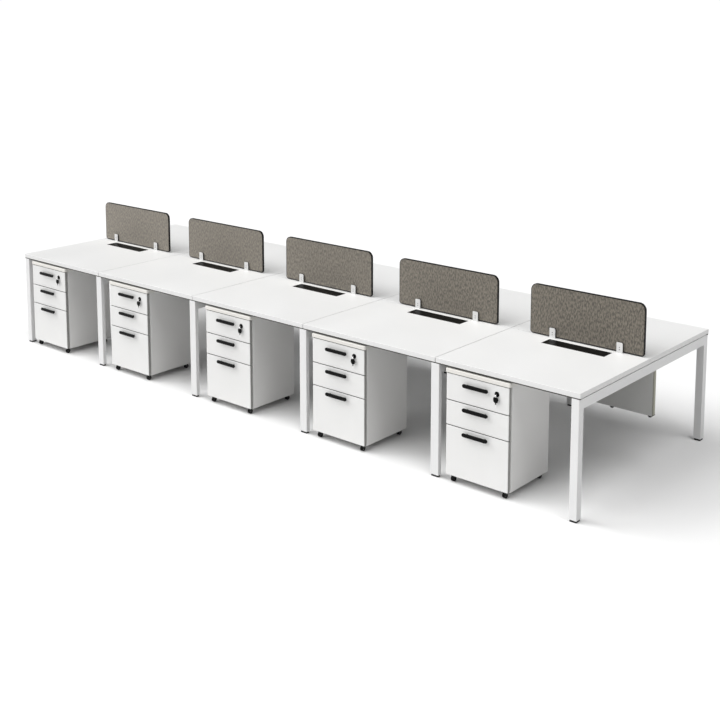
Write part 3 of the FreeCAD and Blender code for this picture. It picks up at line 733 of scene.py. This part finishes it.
castors, wheels, hubs = Geo(), (Geo(), Geo()), (Geo(), Geo())
for j, py in enumerate((34.0, 404.0)):
    for px in (43.0, PW - 43.0):
        castors.join(block(px - 14, py - 18, 41, px + 14, py + 18, 44, 0.6, 2, "xy", 3.0),
                     block(px - 11.5, py - 17, 36, px + 11.5, py + 17, 41.2, 1.5, 3, "xy", 6.0),
                     slab(lambda q: rrect(py - 12, 9.0, py + 12, 36.2, (11.5, 11.5, 1.0, 1.0), q, 6),
                          px - 2.5, px + 2.5, 0.6, 0.6, 2, "yz"))
        for s in (-1, 1):
            stub = [(0, s * 11.0), (2.4, s * 11.0), (3.0, s * 10.4), (3.0, s * 2.2), (0, s * 2.2)]
            castors.join(lathe(stub, (px, py, 17.3), "x", 20))
            w = s * 3.0
            tyre = [(3.08, 0), (15.6, 0), (16.6, 0.4), (17.0, 1.3), (17.0, 5.4), (16.7, 6.4), (15.9, 7.2),
                    (14.8, 7.5), (13.9, 7.35), (13.3, 6.8), (12.9, 6.1), (6.6, 6.1), (6.2, 6.5),
                    (6.0, 7.2), (5.6, 7.5), (3.08, 7.5)]
            wheels[j].join(lathe([(a, w + s * b) for a, b in tyre], (px, py, 17.3), "x", 40, True))
            cap = [(6.3, 6.0), (9.8, 6.0), (9.7, 6.4), (9.3, 6.7), (8.2, 7.0), (7.0, 7.0), (6.4, 6.8)]
            hubs[j].join(lathe([(a, w + s * b) for a, b in cap], (px, py, 17.3), "x", 40, True))
local("castors", castors, M["castor"], "castor_black", "", "cabinet")
for j, side in enumerate(("front", "rear")):
    local("%s_wheels_tyres" % side, wheels[j], M["tyre"], "castor_black", "_%s_wheels" % side,
          "%s_wheels" % side)
    local("%s_wheels_hubs" % side, hubs[j], M["hub"], "castor_black", "_%s_wheels" % side, "%s_wheels" % side)

FRONTS = ((516.5, 677.0), (361.5, 511.5), (46.0, 356.5))
BOXES = ((530.0, 650.0), (375.0, 490.0), (66.0, 300.0))
SLIDE_Z = (545.0, 400.0, 120.0)
HANDLE_Z = (630.0, 481.0, 329.0)
for k, dn in enumerate(("top", "middle", "file")):
    fz0, fz1 = FRONTS[k]
    front = slab(lambda q: rrect(6.3, fz0 + 0.3, 448.7, fz1 - 0.3, 2.2, q, 4), 3.0, 23.0, 2.4, 0.8, 5)
    local("drawer_%s_front" % dn, front, M["front"], "drawer_white", "_drawer_" + dn, "drawer_" + dn)
    # painted shade: a dark ring over the sides of each drawer front, for the shade in the gaps between the
    # fronts and the carcass
    band = stack(lambda q: rrect(6, fz0, 449, fz1, 2.5, q, 4),
                 [(0.15, 5.7), (0.0, 6.1), (0.0, 22.2), (0.15, 22.6), (0.7, 22.6), (0.7, 5.7)], closed=True)
    local("drawer_%s_band" % dn, band, M["band"], "drawer_white", "_drawer_" + dn, "drawer_" + dn)
    z0, z1 = BOXES[k]
    tub = Geo()
    for a, b in ((31.0, 43.0), (412.0, 424.0)):
        tub.join(slab(lambda q: rrect(23.0, z0, 413.0, z1, (0.6, 0.6, 1.6, 0.6), q, 3), a, b, 1.4, 1.4, 3, "yz"))
    tub.join(block(42.8, 401, z0, 412.2, 413, z1, 1.2, 3), block(42.8, 22.8, z0, 412.2, 401.2, z0 + 5, 0.4, 2))
    local("drawer_%s_box" % dn, tub, M["inner"], "drawer_white", "_drawer_" + dn, "drawer_" + dn)
    sz = SLIDE_Z[k]
    rails = Geo().join(channel(24.3, 31.0, 26, 408, sz + 3, sz + 27, 1.1, False),
                       channel(424.0, 430.7, 26, 408, sz + 3, sz + 27, 1.1, True))
    local("drawer_%s_slides" % dn, rails, M["steel"], "screw_steel", "_drawer_" + dn, "drawer_" + dn)
    hz, hx = HANDLE_Z[k], 224.5

    def bar_outline(inset):
        return rrect(hx - 90, hz - 11.25, hx + 90, hz + 11.25, 11.24, inset, 10)

    bar = stack(bar_outline, [(2.6, -21.0), (1.5, -20.95), (0.7, -20.65), (0.2, -20.15), (0.0, -19.4),
                              (0.0, -13.2), (0.3, -12.5), (1.0, -12.0)])
    grip = Geo().join(bar)
    for s in (-1, 1):
        cx = hx + s * 64.0
        grip.join(block(cx - 5, -12.6, hz - 5, cx + 5, 3.1, hz + 5, 0.4, 3, "xz", 3.0),
                  lathe([(0, 2.2), (6.2, 2.2), (6.2, 3.05), (0, 3.05)], (cx, 0, hz), "y", 28))
    local("drawer_%s_handle" % dn, grip, M["handle"], "handle_black", "_drawer_" + dn, "drawer_" + dn)

ring = lathe([(6.1, 3.1), (16.0, 3.1), (16.0, 1.2), (15.7, 0.5), (15.0, 0.1), (13.6, 0.0), (8.4, 0.0),
              (7.2, 0.25), (6.4, 0.8), (6.1, 1.4)], (366.0, 0.0, 625.0), "y", 48, True)
local("lock_ring", ring, M["key"], "trim_black", "_drawer_top", "drawer_top")
plug = lathe([(0, 0.05), (3.2, 0.05), (3.5, -0.35), (5.1, -0.5), (5.7, -0.3), (6.0, 0.2), (6.0, 2.7), (0, 2.7)],
             (366.0, 0.0, 625.0), "y", 40)
blade = block(364.8, -9.2, 621.0, 367.2, 0.3, 629.0, 0.3, 2)
head = slab(lambda q: rrect(358.4, 609.5, 369.4, 622.0, (1.2, 1.2, 3.6, 3.6), q, 5), -12.0, -9.0, 0.8, 0.8, 3)
local("key_metal", Geo().join(blade, head), M["chrome"], "key_chrome", "_lock_key", "lock_key")
local("lock_plug", plug, M["key"], "trim_black", "_lock_key", "lock_key")


def bow_outline(inset):
    """moulded key head: egg-shaped, widest above the middle, tapering down"""
    half = ((576.0, 2.9), (576.4, 6.1), (578.0, 9.4), (581.1, 12.2), (585.5, 14.8), (590.8, 16.4),
            (596.7, 17.0), (602.5, 16.3), (607.0, 14.4), (609.8, 11.0), (610.9, 6.6), (611.0, 2.9))
    side = [(w * (1 - inset / 17.0), 593.5 + (z - 593.5) * (1 - inset / 17.5)) for z, w in half]
    return [(366.0 + w, z) for w, z in side] + [(366.0 - w, z) for w, z in side[::-1]]


bow = stack(bow_outline, [(4.4, -12.3), (3.9, -12.35), (3.4, -12.75), (2.9, -13.0), (1.4, -13.0), (0.5, -12.7),
                          (0.0, -11.9), (0.0, -9.1), (0.5, -8.3), (1.4, -8.0)])
neck = block(362.5, -11.5, 565.0, 369.5, -9.5, 577.5, 0.5, 2)
local("key_head", Geo().join(bow, neck), M["key"], "trim_black", "_lock_key", "lock_key")
tip = slab(lambda q: rrect(362.7, 553.0, 369.3, 566.0, (2.4, 2.4, 0.3, 0.3), q, 4), -11.3, -9.7, 0.3, 0.3, 2)
local("key_tip", tip, M["chrome"], "key_chrome", "_lock_key", "lock_key")

for n, px in enumerate(PED_X):
    tag = "pedestal_%d" % (n + 1)
    for name, (mesh, slot, body, node) in parts.items():
        piece("%s_%s" % (tag, name), mesh, tag + body, "%s_%s" % (tag, node), (px, PED_Y))

# ------------------------------------------------------------- floor
fl = bpy.data.meshes.new("floor")
fl.from_pydata([(-60, -60, 0), (60, -60, 0), (60, 60, 0), (-60, 60, 0)], [], [(0, 1, 2, 3)])
floor = bpy.data.objects.new("floor", fl)
bpy.context.scene.collection.objects.link(floor)
k = Nodes("floor_pale")
k.put(k.b.inputs["Base Color"], k.mix(k.remap(k.noise(scale=1.3, detail=3.0), 0.3, 0.7, 0.0, 1.0),
                                      (0.785, 0.785, 0.783, 1.0), (0.80, 0.80, 0.80, 1.0)))
k.b.inputs["Roughness"].default_value = 0.9
k.b.inputs["Specular IOR Level"].default_value = 0.0
k.b.inputs["Emission Color"].default_value = (1.0, 1.0, 1.0, 1.0)
k.b.inputs["Emission Strength"].default_value = 0.0
fl.materials.append(k.m)

# ------------------------------------------------------------- light
world = bpy.data.worlds.new("studio")
bpy.context.scene.world = world
world.use_nodes = True
wt = world.node_tree
wt.nodes.clear()
out = wt.nodes.new("ShaderNodeOutputWorld")
dome = wt.nodes.new("ShaderNodeBackground")
seen = wt.nodes.new("ShaderNodeBackground")
pick = wt.nodes.new("ShaderNodeMixShader")
path = wt.nodes.new("ShaderNodeLightPath")
dome.inputs["Strength"].default_value = 0.20
dome.inputs["Color"].default_value = (1.0, 1.0, 1.0, 1.0)
seen.inputs["Color"].default_value = (1.0, 1.0, 1.0, 1.0)
seen.inputs["Strength"].default_value = 1.02
wt.links.new(path.outputs["Is Camera Ray"], pick.inputs["Fac"])
wt.links.new(dome.outputs["Background"], pick.inputs[1])
wt.links.new(seen.outputs["Background"], pick.inputs[2])
wt.links.new(pick.outputs["Shader"], out.inputs["Surface"])

# broad soft lights: bearing (0 is the front, growing to the right), elevation, strength
for n, (bearing, rise, strength) in enumerate((
        (135.0, 12.0, 0.050), (315.0, 12.0, 0.155), (292.5, 38.0, 0.531), (337.5, 38.0, 0.297),
        (0.0, 63.0, 0.101), (72.0, 63.0, 0.395), (288.0, 63.0, 0.191))):
    lamp = bpy.data.lights.new("softbox_%d" % (n + 1), "SUN")
    lamp.energy = math.pi * strength
    lamp.angle = math.radians(36.0)
    holder = bpy.data.objects.new("softbox_%d" % (n + 1), lamp)
    bpy.context.scene.collection.objects.link(holder)
    az, el = math.radians(bearing), math.radians(rise)
    source = Vector((math.sin(az) * math.cos(el), -math.cos(az) * math.cos(el), math.sin(el)))
    holder.rotation_mode = "QUATERNION"
    holder.rotation_quaternion = (-source).to_track_quat("-Z", "Y")

# ------------------------------------------------------------- camera
cam_data = bpy.data.cameras.new("camera")
cam_data.sensor_fit = "HORIZONTAL"
cam_data.sensor_width = 36.0
cam_data.lens = 59.1506
cam_data.shift_x = 0.0
cam_data.shift_y = -0.29
cam_data.clip_start = 0.05
cam_data.clip_end = 400.0
cam_data.dof.use_dof = False
cam = bpy.data.objects.new("camera", cam_data)
bpy.context.scene.collection.objects.link(cam)
cam.location = (5.74831, -6.29281, 2.95009)
cam.rotation_mode = "QUATERNION"
cam.rotation_quaternion = Vector((-0.644475, 0.752079, -0.137944)).to_track_quat("-Z", "Y")
bpy.context.scene.camera = cam

view = bpy.context.scene.view_settings
view.view_transform = "Standard"
view.look = "None"
view.exposure = 0.0
view.gamma = 1.0

bpy.context.view_layer.update()
